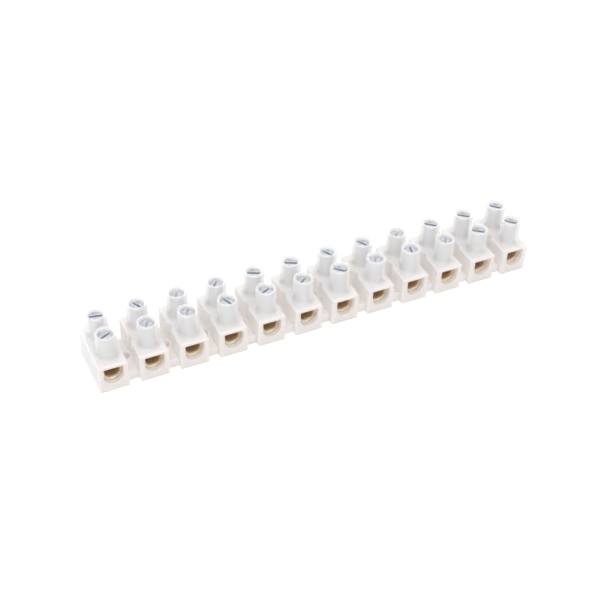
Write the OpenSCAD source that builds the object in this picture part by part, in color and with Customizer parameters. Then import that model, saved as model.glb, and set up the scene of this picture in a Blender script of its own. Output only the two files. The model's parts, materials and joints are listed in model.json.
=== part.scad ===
// Pillar terminal strip: one moulded housing of twelve poles, each with a brass insert that
// takes a wire from either side and two slotted clamp screws standing in towers above it.
// X runs along the strip, Y from the front wire entries to the rear ones, Z up from the base.

/* [Strip] */
// Number of poles
ways = 12; // [2:1:12]
// Distance from one pole to the next
pitch = 10; // [9.6:0.1:14]

/* [Poles] */
// Width of one pole
pole_width = 7.2; // [6.6:0.1:8.2]
// Depth of one pole from its front face to its rear face
pole_depth = 15.4; // [14.6:0.1:20]
// Thickness of the plastic under the wire passage
passage_floor = 2; // [1.6:0.1:5]
// Thickness of the plastic over the wire passage
passage_cover = 0.75; // [0.4:0.05:1.5]
// Radius of the upright edges
edge_radius = 0.3; // [0.1:0.1:0.8]
// Radius of the edges round the top
top_radius = 0.45; // [0.2:0.05:0.9]

/* [Screw towers] */
// Distance from each end face of a pole to the axis of its tower
tower_inset = 4.05; // [3.6:0.05:4.4]
// Height of a tower above the pole
tower_height = 6.75; // [5:0.25:9]
// Outer diameter of a tower at its rim
tower_rim_d = 5; // [4.4:0.1:5.4]
// How much wider a tower is at its foot than at its rim
tower_draft = 0.1; // [0.05:0.05:0.6]
// Height and width of the flare where a tower leaves the pole
tower_flare = 0.35; // [0.1:0.05:0.5]
// Radius of the outer edge of the rim
rim_radius = 0.2; // [0.1:0.05:0.4]
// Lead-in chamfer inside the rim
rim_chamfer = 0.15; // [0.05:0.05:0.25]
// Gap between a screw head and the tower wall
head_clearance = 0.15; // [0.1:0.05:0.25]

/* [Webs and fixing holes] */
// Height of the webs that join the poles
web_height = 2.2; // [1.2:0.1:4]
// How far the webs stay behind the front and rear faces
web_inset = 1.6; // [0.8:0.1:4]
// Diameter of the fixing hole in each web
fixing_hole_d = 2.4; // [2:0.1:3.2]
// Diameter of the scallops in the pole sides, which let a fixing screw's head down
fixing_head_d = 4; // [3.6:0.1:4.6]

/* [Brass inserts] */
// Outer width of an insert
insert_width = 4.7; // [4.2:0.1:5]
// Outer height of an insert
insert_height = 4.65; // [3.8:0.05:5.5]
// Wall of an insert at its sides and under the wire
insert_wall = 0.65; // [0.4:0.05:0.9]
// Roof of an insert, which holds the screw threads
insert_roof = 1; // [0.8:0.1:1.6]
// How far each end of an insert lies inside the pole
insert_setback = 1.4; // [0.4:0.1:2]
// Gap between an insert and its passage
insert_clearance = 0.05; // [0.02:0.01:0.1]

/* [Clamp screws] */
// Diameter of the thread
screw_d = 3; // [2.5:0.1:3.2]
// Radial gap in the thread
thread_clearance = 0.05; // [0.02:0.01:0.1]
// Diameter of the head
head_d = 3.3; // [3.2:0.05:3.5]
// Height of the head
head_height = 1.7; // [1.2:0.1:2.5]
// Chamfer round the top of the head
head_chamfer = 0.2; // [0.1:0.05:0.4]
// Width of the driver slot
slot_width = 0.6; // [0.4:0.05:1]
// Depth of the driver slot
slot_depth = 0.9; // [0.5:0.1:1.1]
// Depth of the head's top below the tower rim
head_recess = 0.8; // [0:0.1:2]
// How far the tip shows under the insert's roof
tip_reach = 0.2; // [0:0.1:1]
// Chamfer round the tip
tip_chamfer = 0.4; // [0.2:0.05:0.8]

/* [Hidden] */
$fn = 64;

// A screw stays at whatever angle it was last turned to: slot angles from the X axis, pole by pole
front_slot_angles = [25, 65, 65, 115, 25, 35, 140, 50, 80, 60, 145, 135];
rear_slot_angles = [170, 120, 65, 50, 155, 155, 120, 120, 50, 140, 145, 135];

// Passages and bores follow what they hold, and the towers follow the ends of the poles
passage_width = insert_width + 2 * insert_clearance;
passage_height = insert_height + 2 * insert_clearance;
tower_bore_d = head_d + 2 * head_clearance;
thread_hole_d = screw_d + 2 * thread_clearance;
insert_length = pole_depth - 2 * insert_setback;
tower_spacing = pole_depth - 2 * tower_inset;
wire_width = insert_width - 2 * insert_wall;
wire_height = insert_height - insert_wall - insert_roof;

// Heights above the base
pole_height = passage_floor + passage_height + passage_cover;
insert_z = passage_floor + insert_clearance;
wire_z = insert_z + insert_wall;
roof_z = wire_z + wire_height;
insert_top_z = insert_z + insert_height;
rim_z = pole_height + tower_height;
head_top_z = rim_z - head_recess;
tip_z = roof_z - tip_reach;

// Tower foot, and the reach of cuts past the faces they open
tower_foot_d = tower_rim_d + tower_draft;
cut = 1;

// Rows of screws: -1 is the front one and 1 is the rear one
front = -1;
rear = 1;

function pole_x(way) = (way - (ways + 1) / 2) * pitch;
function two_digits(way) = str(way < 10 ? "0" : "", way);
function insert_name(way) = str("brass_insert_", two_digits(way));
function screw_name(row, way) = str(row == front ? "front" : "rear", "_screw_", two_digits(way));
function slot_angle(row, way) = (row == front ? front_slot_angles : rear_slot_angles)[way - 1];

// Rectangle on the X axis, centred in X, with its corners rounded
module rounded_block(width, height, radius) {
    translate([-width / 2 + radius, 0]) square([width - 2 * radius, height]);
    translate([-width / 2, radius]) square([width, height - 2 * radius]);
    for (side = [-1, 1], y = [radius, height - radius])
        translate([side * (width / 2 - radius), y]) circle(r = radius);
}

// Rectangle on the X axis, centred in X, with only its upper corners rounded
module round_topped(width, height, radius) {
    rounded_block(width, height, radius);
    translate([-width / 2, 0]) square([width, height / 2]);
}

// Trough outline on the X axis, centred in X: a round bottom that runs up to a flat roof
module trough(width, height) {
    intersection() {
        translate([0, width / 2]) circle(d = width);
        translate([-width / 2, 0]) square([width, width / 2]);
    }
    translate([-width / 2, width / 2]) square([width, height - width / 2]);
}

// Stands an outline drawn in X and Y up, and runs it along Y through the middle of the strip
module along_y(length) {
    translate([0, length / 2, 0]) rotate([90, 0, 0]) linear_extrude(length) children();
}

// The same along X
module along_x(length) {
    rotate([0, 0, 90]) along_y(length) children();
}

// Blocks of all the poles, rounded at their upright edges and round their tops
module pole_blocks() {
    intersection() {
        along_x(ways * pitch) round_topped(pole_depth, pole_height, top_radius);
        for (way = [1:ways]) translate([pole_x(way), 0, 0])
            along_y(pole_depth + 2 * cut) round_topped(pole_width, pole_height, top_radius);
        for (way = [1:ways]) translate([pole_x(way), -pole_depth / 2, -cut])
            linear_extrude(pole_height + 2 * cut) rounded_block(pole_width, pole_depth, edge_radius);
    }
}

// Outside of one screw tower on its axis: drafted wall, flared foot and rounded rim
module tower_body() {
    rotate_extrude() {
        polygon([
            [0, -passage_cover / 2],
            [tower_foot_d / 2 + tower_flare, -passage_cover / 2],
            [tower_foot_d / 2 + tower_flare, 0],
            [tower_foot_d / 2, tower_flare],
            [tower_rim_d / 2, tower_height - rim_radius],
            [tower_rim_d / 2 - rim_radius, tower_height],
            [0, tower_height]
        ]);
        translate([tower_rim_d / 2 - rim_radius, tower_height - rim_radius]) circle(r = rim_radius);
    }
}

// Bore of one tower, from the wire passage out through the rim
module tower_bore() {
    translate([0, 0, -passage_cover - passage_height / 2])
        cylinder(h = passage_cover + passage_height / 2 + tower_height + cut, d = tower_bore_d);
    translate([0, 0, tower_height - rim_chamfer])
        cylinder(h = 2 * rim_chamfer, d1 = tower_bore_d, d2 = tower_bore_d + 4 * rim_chamfer);
}

// Fixing hole through one web, with the scallops that it has in the poles on both sides
module fixing_hole() {
    translate([0, 0, -cut]) cylinder(h = web_height + 2 * cut, d = fixing_hole_d);
    translate([0, 0, web_height]) cylinder(h = pole_height, d = fixing_head_d);
}

// The one-piece moulding
module housing() {
    color([0.94, 0.93, 0.92, 0.8]) difference() {
        union() {
            pole_blocks();
            translate([pole_x(1), -pole_depth / 2 + web_inset, 0])
                cube([(ways - 1) * pitch, pole_depth - 2 * web_inset, web_height]);
            for (way = [1:ways], row = [front, rear])
                translate([pole_x(way), row * tower_spacing / 2, pole_height]) tower_body();
        }
        for (way = [1:ways]) translate([pole_x(way), 0, passage_floor])
            along_y(pole_depth + 2 * cut) trough(passage_width, passage_height);
        for (way = [1:ways], row = [front, rear])
            translate([pole_x(way), row * tower_spacing / 2, pole_height]) tower_bore();
        for (way = [1:ways - 1]) translate([pole_x(way) + pitch / 2, 0, 0]) fixing_hole();
    }
}

// Insert of one pole: a length of trough-shaped brass tube, its thick roof drilled for both screws
module brass_insert(way) {
    color([0.79, 0.62, 0.3]) translate([pole_x(way), 0, 0]) difference() {
        translate([0, 0, insert_z]) along_y(insert_length) trough(insert_width, insert_height);
        translate([0, 0, wire_z]) along_y(insert_length + 2 * cut) trough(wire_width, wire_height);
        for (row = [front, rear]) translate([0, row * tower_spacing / 2, roof_z - wire_height / 2])
            cylinder(h = insert_height, d = thread_hole_d);
    }
}

// Slotted clamp screw of one pole, in the front or the rear row
module clamp_screw(row, way) {
    color([0.66, 0.68, 0.72])
    translate([pole_x(way), row * tower_spacing / 2, 0])
    rotate([0, 0, slot_angle(row, way)])
    difference() {
        rotate_extrude() polygon([
            [0, tip_z],
            [screw_d / 2 - tip_chamfer, tip_z],
            [screw_d / 2, tip_z + tip_chamfer],
            [screw_d / 2, head_top_z - head_height],
            [head_d / 2, head_top_z - head_height],
            [head_d / 2, head_top_z - head_chamfer],
            [head_d / 2 - head_chamfer, head_top_z],
            [0, head_top_z]
        ]);
        translate([-head_d, -slot_width / 2, head_top_z - slot_depth])
            cube([2 * head_d, slot_width, slot_depth + cut]);
    }
}

housing();
for (way = [1:ways])
    brass_insert(way);
for (way = [1:ways], row = [front, rear])
    clamp_screw(row, way);
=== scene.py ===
"""Dresses a packed pillar terminal strip: housing, brass inserts, clamp screws and studio."""

import json
import math

import bmesh
import bpy
import numpy as np
from bpy.props import FloatProperty, FloatVectorProperty, IntProperty, PointerProperty
from mathutils import Matrix, Vector


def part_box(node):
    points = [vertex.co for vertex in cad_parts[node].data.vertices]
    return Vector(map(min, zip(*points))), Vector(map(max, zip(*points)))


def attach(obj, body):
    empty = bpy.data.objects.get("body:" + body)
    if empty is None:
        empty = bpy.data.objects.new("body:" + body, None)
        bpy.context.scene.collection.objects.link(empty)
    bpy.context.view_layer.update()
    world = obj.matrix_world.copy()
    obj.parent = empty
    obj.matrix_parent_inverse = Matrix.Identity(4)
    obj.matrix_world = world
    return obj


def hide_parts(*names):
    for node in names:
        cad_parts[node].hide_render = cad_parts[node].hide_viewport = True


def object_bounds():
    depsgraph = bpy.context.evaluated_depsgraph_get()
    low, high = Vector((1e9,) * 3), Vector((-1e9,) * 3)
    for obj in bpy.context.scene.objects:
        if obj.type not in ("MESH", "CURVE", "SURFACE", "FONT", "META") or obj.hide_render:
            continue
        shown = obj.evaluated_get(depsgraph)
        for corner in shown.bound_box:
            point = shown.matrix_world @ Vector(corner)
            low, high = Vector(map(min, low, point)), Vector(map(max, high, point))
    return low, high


bl_info = {
    "name": "Pillar Terminal Strip",
    "version": (1, 0, 0),
    "blender": (4, 5, 0),
    "location": "View3D > Sidebar > Terminal Strip",
    "description": "Dresses a moulded terminal strip with brass inserts and slotted clamp screws",
    "category": "Object",
}

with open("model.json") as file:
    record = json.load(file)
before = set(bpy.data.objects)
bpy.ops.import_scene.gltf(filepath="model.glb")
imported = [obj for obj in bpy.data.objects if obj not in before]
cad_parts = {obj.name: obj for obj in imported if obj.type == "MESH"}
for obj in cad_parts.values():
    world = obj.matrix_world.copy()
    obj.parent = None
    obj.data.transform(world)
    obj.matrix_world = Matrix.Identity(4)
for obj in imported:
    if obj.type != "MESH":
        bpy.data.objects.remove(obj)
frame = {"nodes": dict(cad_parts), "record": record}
CAD_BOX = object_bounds()
NODES = frame["nodes"]
BODY_OF = {
    node: body
    for body, members in frame["record"]["behaviour"]["bodies"].items()
    for node in members
}
INSERTS = sorted(n for n in NODES if n.startswith("brass_insert"))
SCREWS = sorted(n for n in NODES if "_screw_" in n)
MM = 0.001

SAME = 0.01 * MM  # coordinates closer than this lie on the same level
APART = 0.05 * MM  # coordinates further than this are on another face of a screw
WELL_INSIDE = 0.1 * MM  # points this far in from an insert's outside belong to its bore and holes


# ---------------------------------------------------------------- sizes read from the frame


def node_points(node):
    """Vertices of a CAD node as rows of x, y, z in metres."""
    points = np.zeros(len(NODES[node].data.vertices) * 3)
    NODES[node].data.vertices.foreach_get("co", points)
    return points.reshape(-1, 3)


def screw_sizes(node):
    """Axis, radii, levels and slot of one clamp screw, taken from its CAD node."""
    points = node_points(node)
    low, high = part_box(node)
    axis = Vector(((low.x + high.x) / 2, (low.y + high.y) / 2, 0))
    flat = points[:, :2] - np.array(axis[:2])
    radius = np.hypot(flat[:, 0], flat[:, 1])
    head_r = radius.max()
    under_head = points[radius > head_r - SAME, 2].min()
    shank_r = radius[points[:, 2] < under_head - APART].max()
    slot_floor = points[points[:, 2] > under_head + APART, 2].min()
    on_floor = flat[np.abs(points[:, 2] - slot_floor) < SAME]
    moments = on_floor.T @ on_floor
    angle = 0.5 * math.atan2(2 * moments[0, 1], moments[0, 0] - moments[1, 1])
    across = on_floor @ np.array([-math.sin(angle), math.cos(angle)])
    return {
        "axis": axis,
        "tip": low.z,
        "top": high.z,
        "head_r": float(head_r),
        "under_head": float(under_head),
        "shank_r": float(shank_r),
        "slot_floor": float(slot_floor),
        "slot_width": 2 * float(np.abs(across).max()),
        "slot_angle": angle,
    }


# ---------------------------------------------------------------- mesh helpers


def lathe(outline, steps):
    """Closed turned mesh from an outline of (radius, height) that starts and ends on the axis."""
    bm = bmesh.new()
    rings = []
    for radius, height in outline:
        if radius == 0:
            rings.append([bm.verts.new((0, 0, height))])
            continue
        turns = [2 * math.pi * k / steps for k in range(steps)]
        ring = [(radius * math.cos(t), radius * math.sin(t), height) for t in turns]
        rings.append([bm.verts.new(point) for point in ring])
    for lower, upper in zip(rings, rings[1:]):
        for k in range(steps):
            corners = [lower[k % len(lower)], lower[(k + 1) % len(lower)]]
            corners += [upper[(k + 1) % len(upper)], upper[k % len(upper)]]
            bm.faces.new(list(dict.fromkeys(corners)))
    bmesh.ops.recalc_face_normals(bm, faces=bm.faces)
    return bm


def as_object(name, bm):
    """New linked object with the bmesh as its mesh."""
    mesh = bpy.data.meshes.new(name)
    bm.to_mesh(mesh)
    bm.free()
    piece = bpy.data.objects.new(name, mesh)
    bpy.context.scene.collection.objects.link(piece)
    return piece


def baked(piece, name):
    """The object's mesh with its modifiers applied. The object is then removed."""
    graph = bpy.context.evaluated_depsgraph_get()
    mesh = bpy.data.meshes.new_from_object(piece.evaluated_get(graph))
    mesh.name = name
    bpy.data.objects.remove(piece)
    return mesh


def bevel(piece, width, angle=40):
    """Rounds the edges that turn by more than the angle, in degrees."""
    rounding = piece.modifiers.new("Rounded edges", "BEVEL")
    rounding.width = width
    rounding.segments = 2
    rounding.limit_method = "ANGLE"
    rounding.angle_limit = math.radians(angle)
    return piece


def subtract(piece, cutter):
    """Cuts one object out of another. The cutter stays until it is removed."""
    cutting = piece.modifiers.new("Cut", "BOOLEAN")
    cutting.operation = "DIFFERENCE"
    cutting.solver = "EXACT"
    cutting.object = cutter
    return piece


def block(name, size, centre):
    """Plain block, used as a cutter."""
    bm = bmesh.new()
    bmesh.ops.create_cube(bm, size=1)
    bmesh.ops.scale(bm, vec=size, verts=bm.verts)
    bmesh.ops.translate(bm, vec=centre, verts=bm.verts)
    return as_object(name, bm)


def shade_smooth(mesh, angle=35):
    """Smooth shading, with edges sharper than the angle kept crisp."""
    bm = bmesh.new()
    bm.from_mesh(mesh)
    for face in bm.faces:
        face.smooth = True
    for edge in bm.edges:
        has_two_faces = len(edge.link_faces) == 2
        edge.smooth = has_two_faces and edge.calc_face_angle(0) < math.radians(angle)
    bm.to_mesh(mesh)
    bm.free()
    return mesh


def place(name, mesh, node, matrix, slot):
    """Adds a finished mesh as the piece that stands for a CAD node and rides on its body."""
    piece = bpy.data.objects.new(name, mesh)
    bpy.context.scene.collection.objects.link(piece)
    piece.matrix_world = matrix
    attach(piece, BODY_OF[node])
    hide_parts(node)
    return piece


# ---------------------------------------------------------------- node helpers


def feed(tree, socket, value):
    """Links a socket to another one, or sets it to a constant."""
    if isinstance(value, bpy.types.NodeSocket):
        tree.links.new(value, socket)
    else:
        socket.default_value = value


def compute(tree, operation, *values, kind="ShaderNodeMath"):
    """Math node, or vector math node, on sockets and constants."""
    node = tree.nodes.new(kind)
    node.operation = operation
    for socket, value in zip(node.inputs, values):
        feed(tree, socket, value)
    return node


def own_place(tree):
    """The piece's own coordinates, in metres."""
    return tree.nodes.new("ShaderNodeTexCoord").outputs["Object"]


def own_axes(tree):
    """The piece's own coordinates, as separate X, Y and Z."""
    node = tree.nodes.new("ShaderNodeSeparateXYZ")
    feed(tree, node.inputs[0], own_place(tree))
    return node.outputs


def noise(tree, place, scale, detail):
    """Noise mask at a scale in repeats for each metre."""
    node = tree.nodes.new("ShaderNodeTexNoise")
    for label, value in (("Vector", place), ("Scale", scale), ("Detail", detail)):
        feed(tree, node.inputs[label], value)
    return node.outputs["Fac"]


def rise(tree, value, start, end, low=0, high=1):
    """Value brought from the range start to end to the range low to high, held there beyond it."""
    node = tree.nodes.new("ShaderNodeMapRange")
    ranges = (("From Min", start), ("From Max", end), ("To Min", low), ("To Max", high))
    for label, limit in (("Value", value), *ranges):
        feed(tree, node.inputs[label], limit)
    return node.outputs["Result"]


def vary(tree, mask, low, high):
    """Noise mask brought to values between low and high."""
    return rise(tree, mask, 0.3, 0.7, low, high)


def mottle(tree, mask, color, *tones):
    """Colour that follows a mask. Each tone is (position on the mask, brightness)."""
    node = tree.nodes.new("ShaderNodeValToRGB")
    elements = node.color_ramp.elements
    while len(elements) < len(tones):
        elements.new(0.5)
    for element, (position, brightness) in zip(elements, tones):
        element.position = position
        element.color = (*(min(1, channel * brightness) for channel in color), 1)
    feed(tree, node.inputs["Fac"], mask)
    return node.outputs["Color"]


def blend(tree, factor, first, second):
    """Colour mixed from two by a factor."""
    node = tree.nodes.new("ShaderNodeMix")
    node.data_type = "RGBA"
    for label, value in (("Factor", factor), ("A", first), ("B", second)):
        feed(tree, node.inputs[label], value)
    return node.outputs["Result"]


def bump(tree, height, distance, strength):
    """Normal bent by a height, as a bump of that depth in metres."""
    node = tree.nodes.new("ShaderNodeBump")
    for label, value in (("Height", height), ("Distance", distance), ("Strength", strength)):
        feed(tree, node.inputs[label], value)
    return node.outputs["Normal"]


def new_material(name):
    """Node material: itself, its node tree and its Principled shader's inputs."""
    material = bpy.data.materials.new(name)
    material.use_nodes = True
    return material, material.node_tree, material.node_tree.nodes["Principled BSDF"].inputs


def add_group(tree, name, **values):
    """Places a shared node group with its own values, and gives its outputs."""
    node = tree.nodes.new("ShaderNodeGroup")
    node.node_tree = bpy.data.node_groups[name]
    for label, value in values.items():
        node.inputs[label.replace("_", " ").title()].default_value = value
    return node.outputs


def new_group(name, inputs, outputs):
    """Shared node group with named sockets. Each input is (name, type, default)."""
    group = bpy.data.node_groups.new(name, "ShaderNodeTree")
    for label, kind, default in inputs:
        socket = group.interface.new_socket(label, in_out="INPUT", socket_type=kind)
        socket.default_value = default
    for label in outputs:
        group.interface.new_socket(label, in_out="OUTPUT", socket_type="NodeSocketFloat")
    start = group.nodes.new("NodeGroupInput").outputs
    end = group.nodes.new("NodeGroupOutput").inputs
    return group, start, end


def grain_group():
    """Moulded grain: a mask of soft clouds and a height of fine pits, at sizes in metres."""
    group, start, end = new_group(
        "Mould grain",
        [("Cloud Size", "NodeSocketFloat", 4 * MM), ("Pit Size", "NodeSocketFloat", 0.25 * MM)],
        ["Clouds", "Height"],
    )
    place = own_place(group)
    for size, output, detail in (("Cloud Size", "Clouds", 2), ("Pit Size", "Height", 3)):
        scale = compute(group, "DIVIDE", 1, start[size]).outputs[0]
        feed(group, end[output], noise(group, place, scale, detail))


def streak_group():
    """Drawing marks: noise stretched along one axis, as a mask that is also a height."""
    group, start, end = new_group(
        "Tool marks",
        [("Stretch", "NodeSocketVector", (1, 1, 1)), ("Scale", "NodeSocketFloat", 1000)],
        ["Marks"],
    )
    stretched = compute(
        group, "MULTIPLY", own_place(group), start["Stretch"], kind="ShaderNodeVectorMath"
    )
    feed(group, end["Marks"], noise(group, stretched.outputs[0], start["Scale"], 4))


def ring_group():
    """Turned rings round the piece's own Z axis, as a height."""
    group, start, end = new_group(
        "Turned rings", [("Spacing", "NodeSocketFloat", 0.12 * MM)], ["Height"]
    )
    flat = compute(group, "MULTIPLY", own_place(group), (1, 1, 0), kind="ShaderNodeVectorMath")
    away = compute(group, "LENGTH", flat.outputs[0], kind="ShaderNodeVectorMath")
    turns = compute(group, "DIVIDE", away.outputs["Value"], start["Spacing"])
    feed(group, end["Height"], compute(group, "SINE", turns.outputs[0]).outputs[0])


# ---------------------------------------------------------------- housing

TOWER_CLEAR = 0.8 * MM  # the towers' feet keep this far from the end faces
TOWER_BLEND = (-0.3 * MM, 1.2 * MM)  # levels about the poles' tops where the plastic changes
FACE_BLEND = (0.05 * MM, 0.4 * MM)  # depths behind the end faces over which the plastic turns to its paler painted-light colour


class HousingSettings(bpy.types.PropertyGroup):
    """Finish of the moulded housing."""

    color: FloatVectorProperty(
        name="Poles", description="Colour of the milky plastic round the brass",
        subtype="COLOR", size=3, min=0, max=1, default=(0.96, 0.88, 0.86),
    )
    # Painted light: behind the end faces, in the wire entries' mouths and between the poles, the
    # plastic is painted paler to lift its shade.
    painted_light_inner_color: FloatVectorProperty(
        name="Inside", description="Colour of the plastic behind the faces of the wire entries",
        subtype="COLOR", size=3, min=0, max=1, default=(1, 0.965, 0.94),
    )
    tower_color: FloatVectorProperty(
        name="Towers", description="Colour of the milky plastic round the zinc screws",
        subtype="COLOR", size=3, min=0, max=1, default=(0.98, 0.97, 0.99),
    )
    clearness: FloatProperty(
        name="Clearness", description="Share of light that goes straight through a tower's skin",
        subtype="FACTOR", min=0, max=1, default=0.26,
    )
    thick_clearness: FloatProperty(
        name="Clearness of the poles", description="The same share where the plastic is thick",
        subtype="FACTOR", min=0, max=1, default=0.06,
    )
    roughness: FloatProperty(
        name="Roughness", description="Roughness of the moulded skin",
        subtype="FACTOR", min=0, max=1, default=0.32,
    )
    scatter_depth: FloatProperty(
        name="Scatter depth", description="How far light spreads inside the plastic",
        subtype="DISTANCE", unit="LENGTH", min=0, max=0.01, default=0.6 * MM,
    )
    grain_depth: FloatProperty(
        name="Grain depth", description="Depth of the moulded grain",
        subtype="DISTANCE", unit="LENGTH", min=0, max=0.001, default=0.004 * MM,
    )


def pole_top():
    """Level of the poles' flat tops, taken from the housing outside the towers' reach."""
    points = node_points("housing")
    return float(points[np.abs(points[:, 1]) > CAD_BOX[1].y - TOWER_CLEAR, 2].max())


def plastic_material(settings):
    """Milky translucent plastic: clearer and cooler in the towers, faintly cloudy, and painted
    paler behind the end faces as painted light in the mouths and between the poles.
    """
    material, tree, shader = new_material("Milky plastic")
    grain = add_group(tree, "Mould grain")
    axes = own_axes(tree)
    in_tower = rise(tree, axes["Z"], *(pole_top() + level for level in TOWER_BLEND))
    away = compute(tree, "ABSOLUTE", axes["Y"]).outputs[0]
    # Painted light: away from the end faces the plastic takes the paler inner colour.
    inside = rise(tree, away, *(CAD_BOX[1].y - depth for depth in FACE_BLEND))
    pole, inner, tower = (
        mottle(tree, grain["Clouds"], color, (0.35, 0.99), (0.65, 1))
        for color in (settings.color, settings.painted_light_inner_color, settings.tower_color)
    )
    tint = blend(tree, in_tower, blend(tree, inside, pole, inner), tower)
    rough = vary(tree, grain["Clouds"], settings.roughness - 0.05, settings.roughness + 0.05)
    solid = rise(tree, in_tower, 0, 1, 1 - settings.thick_clearness, 1 - settings.clearness)
    inner_side = tree.nodes.new("ShaderNodeNewGeometry").outputs["Backfacing"]
    outer_skin = compute(tree, "SUBTRACT", solid, inner_side)
    outer_skin.use_clamp = True
    for label, value in {
        "Base Color": tint,
        "Roughness": rough,
        "Normal": bump(tree, grain["Height"], settings.grain_depth, 0.4),
        "Alpha": outer_skin.outputs[0],
        "IOR": 1.5,
        "Subsurface Weight": 1,
        "Subsurface Radius": (1, 0.95, 0.85),
        "Subsurface Scale": settings.scatter_depth,
    }.items():
        feed(tree, shader[label], value)
    return material


class STRIP_OT_housing(bpy.types.Operator):
    """Finishes the moulded housing in milky plastic"""

    bl_idname = "strip.housing"
    bl_label = "Housing"

    def execute(self, context):
        housing = NODES["housing"]
        housing.data.materials.clear()
        housing.data.materials.append(plastic_material(context.scene.strip_housing))
        return {"FINISHED"}


# ---------------------------------------------------------------- brass inserts

DRILL_BELOW = 0.3 * MM  # how far the drills go into the bore
DRILL_ABOVE = 0.5 * MM  # how far they stick out at the top
SAWN_BLEND = 0.1 * MM  # length over which the sawn finish starts
PAINTED_HIGHLIGHT_SIDES = (-0.2 * MM, 1.2 * MM)  # across a mouth in X, from the side with the painted highlight to the dull one


class InsertSettings(bpy.types.PropertyGroup):
    """Edges and finish of the brass inserts."""

    color: FloatVectorProperty(
        name="Brass", description="Colour of the brass", subtype="COLOR",
        size=3, min=0, max=1, default=(0.76, 0.58, 0.40),
    )
    # The sawn colour is fresh-cut brass, made paler still as a painted highlight.
    sawn_highlight_color: FloatVectorProperty(
        name="Sawn brass", description="Colour of the bright sawn ends", subtype="COLOR",
        size=3, min=0, max=1, default=(0.97, 0.87, 0.70),
    )
    roughness: FloatProperty(
        name="Roughness", description="Roughness of the drawn brass",
        subtype="FACTOR", min=0, max=1, default=0.5,
    )
    edge: FloatProperty(
        name="Edge", description="Width of the rounded edges",
        subtype="DISTANCE", unit="LENGTH", min=0, max=0.0002, default=0.06 * MM,
    )
    mouth_width: FloatProperty(
        name="Mouth width", description="How much each mouth is countersunk across",
        subtype="DISTANCE", unit="LENGTH", min=0.0001, max=0.0005, default=0.3 * MM,
    )
    mouth_depth: FloatProperty(
        name="Mouth depth", description="How far the countersink goes in",
        subtype="DISTANCE", unit="LENGTH", min=0.0001, max=0.001, default=0.6 * MM,
    )
    steps: IntProperty(
        name="Steps", description="Faces round the bottom of an insert", min=8, max=64, default=28,
    )


def insert_sizes(node):
    """Half widths, levels, half length and screw holes of one insert, taken from its CAD node."""
    points = node_points(node)
    low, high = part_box(node)
    middle = (low.x + high.x) / 2
    end = points[points[:, 1] < low.y + SAME]
    across = np.abs(end[:, 0] - middle)
    half = (high.x - low.x) / 2
    inner = end[(across < half - WELL_INSIDE) & (end[:, 2] < high.z - WELL_INSIDE)]
    roof = inner[:, 2].max()
    inner_half = np.abs(inner[inner[:, 2] > roof - SAME, 0] - middle).max()
    rows = sorted({round(screw_sizes(screw)["axis"].y, 6) for screw in SCREWS})
    top = points[points[:, 2] > high.z - SAME]
    in_hole = top[np.abs(top[:, 1]) < high.y - WELL_INSIDE]
    hole = np.hypot(in_hole[:, 0] - middle, np.abs(in_hole[:, 1]) - rows[-1]).max()
    return {
        "x": middle,
        "half_length": high.y,
        "outer": (half, low.z, high.z),
        "inner": (float(inner_half), float(low.z + half - inner_half), float(roof)),
        "rows": rows,
        "hole": float(hole),
    }


def trough_outline(half_width, floor, roof, steps):
    """Outline of a trough in X and Z: a round bottom that runs up to a flat roof."""
    turns = [math.pi * k / steps for k in range(steps + 1)]
    centre = floor + half_width
    arc = [(-half_width * math.cos(t), centre - half_width * math.sin(t)) for t in turns]
    return [(-half_width, roof)] + arc + [(half_width, roof)]


def insert_mesh(sizes, settings):
    """One insert at X zero: a trough-shaped tube with countersunk mouths and two screw holes."""
    bm = bmesh.new()
    outer, inner = sizes["outer"], sizes["inner"]
    half_width, floor, roof = inner
    wider, end = settings.mouth_width, sizes["half_length"]
    sunk = end - settings.mouth_depth
    mouth = (half_width + wider, floor - wider, roof + wider)
    rounds = [
        (-end, outer), (end, outer), (end, mouth), (sunk, inner), (-sunk, inner), (-end, mouth),
    ]
    rings = []
    for y, outline in rounds:
        points = trough_outline(*outline, settings.steps)
        rings.append([bm.verts.new((x, y, z)) for x, z in points])
    count = len(rings[0])
    for first, second in zip(rings, rings[1:] + rings[:1]):
        for k in range(count):
            after = (k + 1) % count
            bm.faces.new((first[k], first[after], second[after], second[k]))
    bmesh.ops.recalc_face_normals(bm, faces=bm.faces)
    insert = as_object("insert", bm)
    below, above = roof - DRILL_BELOW, outer[2] + DRILL_ABOVE
    radius = sizes["hole"]
    drills = []
    for y in sizes["rows"]:
        outline = [(0, below), (radius, below), (radius, above), (0, above)]
        drill = as_object("drill", lathe(outline, 2 * settings.steps))
        drill.location.y = y
        drills.append(drill)
        subtract(insert, drill)
    mesh = baked(bevel(insert, settings.edge), "brass_insert")
    for drill in drills:
        bpy.data.objects.remove(drill)
    return shade_smooth(mesh)


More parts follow.
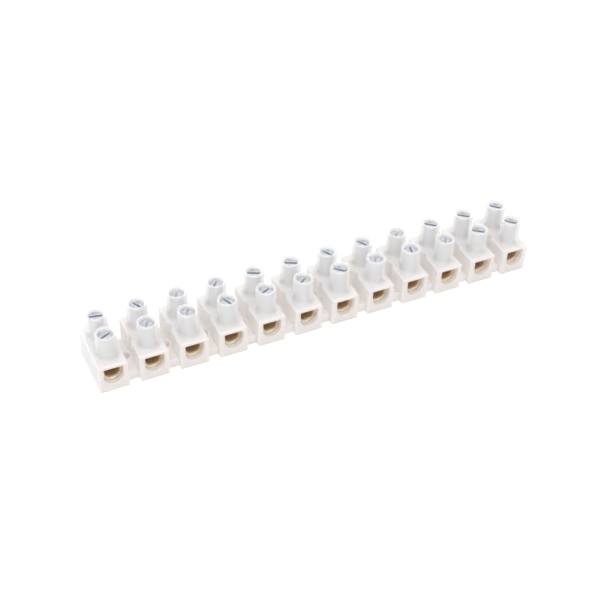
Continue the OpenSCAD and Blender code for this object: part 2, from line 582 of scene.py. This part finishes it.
def brass_material(settings, half_length):
    """Drawn brass with streaks along its length, darker stains and sawn ends, bright with a painted
    highlight on one side.
    """
    material, tree, shader = new_material("Drawn brass")
    marks = add_group(tree, "Tool marks", stretch=(1, 0.06, 1), scale=2500)["Marks"]
    stains = add_group(tree, "Mould grain", cloud_size=1.5 * MM, pit_size=0.2 * MM)
    drawn = mottle(tree, stains["Clouds"], settings.color, (0.3, 0.8), (0.5, 0.95), (0.7, 1.08))
    sawn = mottle(tree, stains["Height"], settings.sawn_highlight_color, (0.3, 0.9), (0.7, 1.04))
    axes = own_axes(tree)
    mouth = half_length - settings.mouth_depth
    away = compute(tree, "ABSOLUTE", axes["Y"]).outputs[0]
    at_end = rise(tree, away, mouth - SAWN_BLEND, mouth)
    # Painted highlight: the sawn ends are painted bright on their low X side, fading to a quarter
    # of that across the mouth.
    bright = compute(tree, "MULTIPLY", at_end, rise(tree, axes["X"], *PAINTED_HIGHLIGHT_SIDES, 1, 0.25))
    for label, value in {
        "Base Color": blend(tree, bright.outputs[0], drawn, sawn),
        "Roughness": vary(tree, marks, settings.roughness - 0.08, settings.roughness + 0.1),
        "Normal": bump(tree, marks, 0.01 * MM, 0.5),
        "Metallic": 0.95,
    }.items():
        feed(tree, shader[label], value)
    return material


class STRIP_OT_inserts(bpy.types.Operator):
    """Builds the brass inserts with rounded edges and sawn ends"""

    bl_idname = "strip.inserts"
    bl_label = "Brass inserts"

    def execute(self, context):
        settings = context.scene.strip_inserts
        sizes = insert_sizes(INSERTS[0])
        mesh = insert_mesh(sizes, settings)
        mesh.materials.append(brass_material(settings, sizes["half_length"]))
        for node in INSERTS:
            matrix = Matrix.Translation((insert_sizes(node)["x"], 0, 0))
            place(node + "_drawn", mesh, node, matrix, "brass")
        return {"FINISHED"}


# ---------------------------------------------------------------- clamp screws

THREAD_PROFILE = ((0, False), (0.44, True), (0.56, True))  # share of the pitch, on the crest or not
TIP_CHAMFER = 0.4 * MM
NECK_LENGTH = 0.3 * MM
HEAD_CHAMFER = 0.2 * MM
UNDER_CHAMFER = 0.05 * MM
HEAD_BULGE = 0.35  # the middle of the head's chamfer, as a share of it from the corner
NECK_OVERLAP = 0.05 * MM  # how far the head's neck reaches down into the shank
NECK_TAPER = 0.02 * MM
WELD = 0.002 * MM  # points closer than this are one
SLOT_RIM = 0.1 * MM  # depth below the top where the painted light in the slot has faded out


class ScrewSettings(bpy.types.PropertyGroup):
    """Thread and finish of the clamp screws."""

    color: FloatVectorProperty(
        name="Zinc", description="Colour of the zinc plating", subtype="COLOR",
        size=3, min=0, max=1, default=(0.70, 0.73, 0.78),
    )
    roughness: FloatProperty(
        name="Roughness", description="Roughness of the plating",
        subtype="FACTOR", min=0, max=1, default=0.42,
    )
    thread_pitch: FloatProperty(
        name="Thread pitch", description="Distance from one thread crest to the next",
        subtype="DISTANCE", unit="LENGTH", min=0.0002, max=0.002, default=0.5 * MM,
    )
    thread_depth: FloatProperty(
        name="Thread depth", description="Depth of the thread from crest to root",
        subtype="DISTANCE", unit="LENGTH", min=0.00005, max=0.001, default=0.3 * MM,
    )
    steps: IntProperty(
        name="Steps", description="Faces round a screw", min=12, max=96, default=32,
    )


def threaded_shank(sizes, settings, neck):
    """Threaded shank from the tip up to the neck: rows of points that climb as the thread does."""
    steps, pitch, tip = settings.steps, settings.thread_pitch, sizes["tip"]
    crest = sizes["shank_r"]
    root = crest - settings.thread_depth
    parts = len(THREAD_PROFILE)
    rows = (math.ceil((neck - tip) / pitch) + 2) * parts
    bm = bmesh.new()
    grid = []
    for row in range(rows):
        turn, part = divmod(row, parts)
        phase, raised = THREAD_PROFILE[part]
        line = []
        for step in range(steps):
            climb = pitch * (turn - 1 + phase + step / steps)
            height = min(max(tip + climb, tip), neck)
            room = min(crest - TIP_CHAMFER + (height - tip), root + (neck - height))
            reach = min(crest if raised else root, room)
            angle = 2 * math.pi * step / steps
            line.append(bm.verts.new((reach * math.cos(angle), reach * math.sin(angle), height)))
        grid.append(line)
    for lower, upper in zip(grid, grid[1:]):
        for k in range(steps - 1):
            bm.faces.new((lower[k], lower[k + 1], upper[k + 1], upper[k]))
    for row in range(rows - 1 - parts):
        after = row + parts
        bm.faces.new((grid[row][-1], grid[after][0], grid[after + 1][0], grid[row + 1][-1]))
    bmesh.ops.remove_doubles(bm, verts=bm.verts, dist=WELD)
    bmesh.ops.dissolve_degenerate(bm, edges=bm.edges, dist=WELD)
    bmesh.ops.holes_fill(bm, edges=bm.edges)
    bmesh.ops.recalc_face_normals(bm, faces=bm.faces)
    return bm


def slotted_head(sizes, settings, neck):
    """Head with its neck and driver slot, its rim chamfered in two steps."""
    radius, top, under = sizes["head_r"], sizes["top"], sizes["under_head"]
    neck_r = sizes["shank_r"] - settings.thread_depth
    foot, middle = neck - NECK_OVERLAP, HEAD_BULGE * HEAD_CHAMFER
    outline = [
        (0, foot), (neck_r - NECK_TAPER, foot), (neck_r, under),
        (radius - UNDER_CHAMFER, under), (radius, under + UNDER_CHAMFER),
        (radius, top - HEAD_CHAMFER), (radius - middle, top - middle),
        (radius - HEAD_CHAMFER, top), (0, top),
    ]
    head = as_object("head", lathe(outline, 2 * settings.steps))
    depth = top - sizes["slot_floor"]
    slot = block("slot", (3 * radius, sizes["slot_width"], 2 * depth), (0, 0, top))
    mesh = baked(subtract(head, slot), "head")
    bpy.data.objects.remove(slot)
    return mesh


def screw_mesh(sizes, settings):
    """One whole screw on the Z axis, its slot along X."""
    neck = sizes["under_head"] - NECK_LENGTH
    bm = threaded_shank(sizes, settings, neck)
    bm.from_mesh(slotted_head(sizes, settings, neck))
    mesh = bpy.data.meshes.new("clamp_screw")
    bm.to_mesh(mesh)
    bm.free()
    return shade_smooth(mesh)


def zinc_material(settings, sizes):
    """Grey zinc plating with turned rings, painted lighter down in the slot as painted light
    against the slot's shade.
    """
    material, tree, shader = new_material("Zinc plate")
    rings = add_group(tree, "Turned rings", spacing=0.02 * MM)
    stains = add_group(tree, "Mould grain", cloud_size=0.9 * MM, pit_size=0.15 * MM)
    stained = mottle(tree, stains["Clouds"], settings.color, (0.35, 0.82), (0.65, 1.1))
    slot_rim = sizes["top"] - SLOT_RIM
    # Painted light: the plating is painted a tenth lighter at the slot's floor, fading out near its
    # rim.
    slot_painted_light = rise(tree, own_axes(tree)["Z"], sizes["slot_floor"], slot_rim, 1.1, 1)
    color = compute(tree, "MULTIPLY", stained, slot_painted_light, kind="ShaderNodeVectorMath")
    low, high = settings.roughness - 0.06, settings.roughness + 0.1
    for label, value in {
        "Base Color": color.outputs[0],
        "Roughness": vary(tree, stains["Height"], low, high),
        "Normal": bump(tree, rings["Height"], 0.004 * MM, 0.3),
        "Metallic": 1,
    }.items():
        feed(tree, shader[label], value)
    return material


class STRIP_OT_screws(bpy.types.Operator):
    """Builds the threaded, slotted clamp screws in both rows"""

    bl_idname = "strip.screws"
    bl_label = "Clamp screws"

    def execute(self, context):
        settings = context.scene.strip_screws
        sizes = screw_sizes(SCREWS[0])
        mesh = screw_mesh(sizes, settings)
        mesh.materials.append(zinc_material(settings, sizes))
        for node in SCREWS:
            own = screw_sizes(node)
            matrix = Matrix.Translation(own["axis"]) @ Matrix.Rotation(own["slot_angle"], 4, "Z")
            place(node + "_turned", mesh, node, matrix, "screw_steel")
        return {"FINISHED"}


# ---------------------------------------------------------------- studio

LIGHTS = [  # name, setting with its power, colour, side and place in metres
    ("Key", "key_power", (1, 0.94, 0.9), 0.3, (-0.12, -0.28, 0.58)),
    ("Fill", "fill_power", (1, 1, 1), 0.4, (-0.5, -0.02, 0.3)),
]
FLOOR_HALF_SIDE = 3
FLOOR_GAP = 0.02 * MM  # between the floor and the strip
FLOOR_FAR = (0.15, 0.5)  # distances from the strip over which the floor's lift grows
FLOOR_LIFT = (0.25, 0.45)  # what the lift adds for the camera, near and far


class StageSettings(bpy.types.PropertyGroup):
    """Floor, lights and camera."""

    azimuth: FloatProperty(
        name="Azimuth", description="Camera's turn round the strip, from straight in front",
        subtype="ANGLE", unit="ROTATION", default=math.radians(-26.6),
    )
    elevation: FloatProperty(
        name="Elevation", description="Camera's height above the horizon, as an angle",
        subtype="ANGLE", unit="ROTATION", default=math.radians(40.6),
    )
    roll: FloatProperty(
        name="Roll", description="Camera's tilt about its own line of sight",
        subtype="ANGLE", unit="ROTATION", default=math.radians(2.06),
    )
    distance: FloatProperty(
        name="Distance", description="From the camera to the point that it looks at",
        subtype="DISTANCE", unit="LENGTH", default=265.8 * MM,
    )
    aim: FloatVectorProperty(
        name="Aim", description="Point that the camera looks at, from the middle of the base",
        subtype="TRANSLATION", unit="LENGTH", size=3, default=(-8.93 * MM, -9.98 * MM, 13.45 * MM),
    )
    lens: FloatProperty(
        name="Lens", description="Focal length on a 36 mm sensor, in millimetres", default=67.03,
    )
    key_power: FloatProperty(
        name="Key light", description="Power of the soft light in front and above",
        unit="POWER", default=0.75,
    )
    fill_power: FloatProperty(
        name="Fill light", description="Power of the soft light on the left",
        unit="POWER", default=0.4,
    )
    world_strength: FloatProperty(
        name="Room light", description="Strength of the even light of the room", default=0.8,
    )
    bounces: IntProperty(
        name="Bounces", description="How often light may scatter on its way through the plastic",
        min=4, max=64, default=24,
    )
    floor_color: FloatVectorProperty(
        name="Floor", description="Colour of the floor", subtype="COLOR",
        size=3, min=0, max=1, default=(0.9, 0.9, 0.9),
    )


def add_camera(settings):
    """Camera on its line of sight, rolled about it."""
    data = bpy.data.cameras.new("Camera")
    data.lens = settings.lens
    data.sensor_width = 36
    data.clip_start = 0.01
    camera = bpy.data.objects.new("Camera", data)
    bpy.context.scene.collection.objects.link(camera)
    a, e = settings.azimuth, settings.elevation
    back = Vector((math.sin(a) * math.cos(e), -math.cos(a) * math.cos(e), math.sin(e)))
    turn = (-back).to_track_quat("-Z", "Y").to_matrix().to_4x4()
    roll = Matrix.Rotation(settings.roll, 4, "Z")
    place_at = Vector(settings.aim) + back * settings.distance
    camera.matrix_world = Matrix.Translation(place_at) @ (turn @ roll)
    bpy.context.scene.camera = camera


def add_light(name, power, color, size, place_at):
    """Square soft light that faces the middle of the strip."""
    data = bpy.data.lights.new(name, "AREA")
    data.energy = power
    data.color = color
    data.size = size
    light = bpy.data.objects.new(name, data)
    bpy.context.scene.collection.objects.link(light)
    light.location = place_at
    light.rotation_mode = "QUATERNION"
    light.rotation_quaternion = (-Vector(place_at)).to_track_quat("-Z", "Y")


def add_floor(settings):
    """Pale floor that reads as white straight to the camera and keeps the strip's shadow."""
    bm = bmesh.new()
    bmesh.ops.create_grid(bm, x_segments=8, y_segments=8, size=FLOOR_HALF_SIDE)
    floor = as_object("floor", bm)
    floor.location.z = CAD_BOX[0].z - FLOOR_GAP
    material, tree, shader = new_material("Pale floor")
    grain = add_group(tree, "Mould grain", cloud_size=0.3, pit_size=2 * MM)
    away = compute(tree, "LENGTH", own_place(tree), kind="ShaderNodeVectorMath").outputs["Value"]
    seen = tree.nodes.new("ShaderNodeLightPath").outputs["Is Camera Ray"]
    lift = compute(tree, "MULTIPLY", seen, rise(tree, away, *FLOOR_FAR, *FLOOR_LIFT))
    for label, value in {
        "Base Color": mottle(tree, grain["Clouds"], settings.floor_color, (0.3, 0.99), (0.7, 1)),
        "Roughness": 0.9,
        "Specular IOR Level": 0,
        "Emission Color": (1, 1, 1, 1),
        "Emission Strength": lift.outputs[0],
    }.items():
        feed(tree, shader[label], value)
    floor.data.materials.append(material)


def set_world(settings):
    """Even room light, white where the camera sees it directly or in a piece."""
    world = bpy.data.worlds.new("Studio")
    world.use_nodes = True
    bpy.context.scene.world = world
    tree = world.node_tree
    rays = tree.nodes.new("ShaderNodeLightPath").outputs
    seen = rays["Is Camera Ray"]
    for kind in ("Is Glossy Ray", "Is Transmission Ray"):
        seen = compute(tree, "MAXIMUM", seen, rays[kind]).outputs[0]
    background = tree.nodes["Background"].inputs
    feed(tree, background["Strength"], rise(tree, seen, 0, 1, settings.world_strength, 1))
    feed(tree, background["Color"], (1, 1, 1, 1))


class STRIP_OT_stage(bpy.types.Operator):
    """Sets up the floor, lights, room and camera"""

    bl_idname = "strip.stage"
    bl_label = "Stage"

    def execute(self, context):
        settings = context.scene.strip_stage
        context.scene.view_settings.view_transform = "Standard"
        for limit in ("max", "diffuse", "glossy", "transparent_max"):
            setattr(context.scene.cycles, limit + "_bounces", settings.bounces)
        add_camera(settings)
        add_floor(settings)
        set_world(settings)
        for name, power, color, size, place_at in LIGHTS:
            add_light(name, getattr(settings, power), color, size, place_at)
        return {"FINISHED"}


# ---------------------------------------------------------------- panel and registration


class STRIP_PT_panel(bpy.types.Panel):
    """Lists the sizes, finishes and steps of the terminal strip"""

    bl_idname = "STRIP_PT_panel"
    bl_label = "Terminal Strip"
    bl_space_type = "VIEW_3D"
    bl_region_type = "UI"
    bl_category = "Terminal Strip"

    def draw(self, context):
        for label, name, _, operator in PARTS:
            box = self.layout.box()
            box.label(text=label)
            settings = getattr(context.scene, name)
            for key in settings.__annotations__:
                box.prop(settings, key)
            box.operator(operator.bl_idname)


PARTS = [  # label, name on the scene, settings and operator
    ("Housing", "strip_housing", HousingSettings, STRIP_OT_housing),
    ("Brass inserts", "strip_inserts", InsertSettings, STRIP_OT_inserts),
    ("Clamp screws", "strip_screws", ScrewSettings, STRIP_OT_screws),
    ("Stage", "strip_stage", StageSettings, STRIP_OT_stage),
]


def register():
    """Registers the settings, operators and panel."""
    for _, name, group, operator in PARTS:
        bpy.utils.register_class(group)
        setattr(bpy.types.Scene, name, PointerProperty(type=group))
        bpy.utils.register_class(operator)
    bpy.utils.register_class(STRIP_PT_panel)


def unregister():
    """Takes the settings, operators and panel away again."""
    bpy.utils.unregister_class(STRIP_PT_panel)
    for _, name, group, operator in reversed(PARTS):
        bpy.utils.unregister_class(operator)
        delattr(bpy.types.Scene, name)
        bpy.utils.unregister_class(group)


def main():
    register()
    grain_group()
    streak_group()
    ring_group()
    bpy.ops.strip.housing()
    bpy.ops.strip.inserts()
    bpy.ops.strip.screws()
    bpy.ops.strip.stage()


if __name__ == "__main__":
    main()
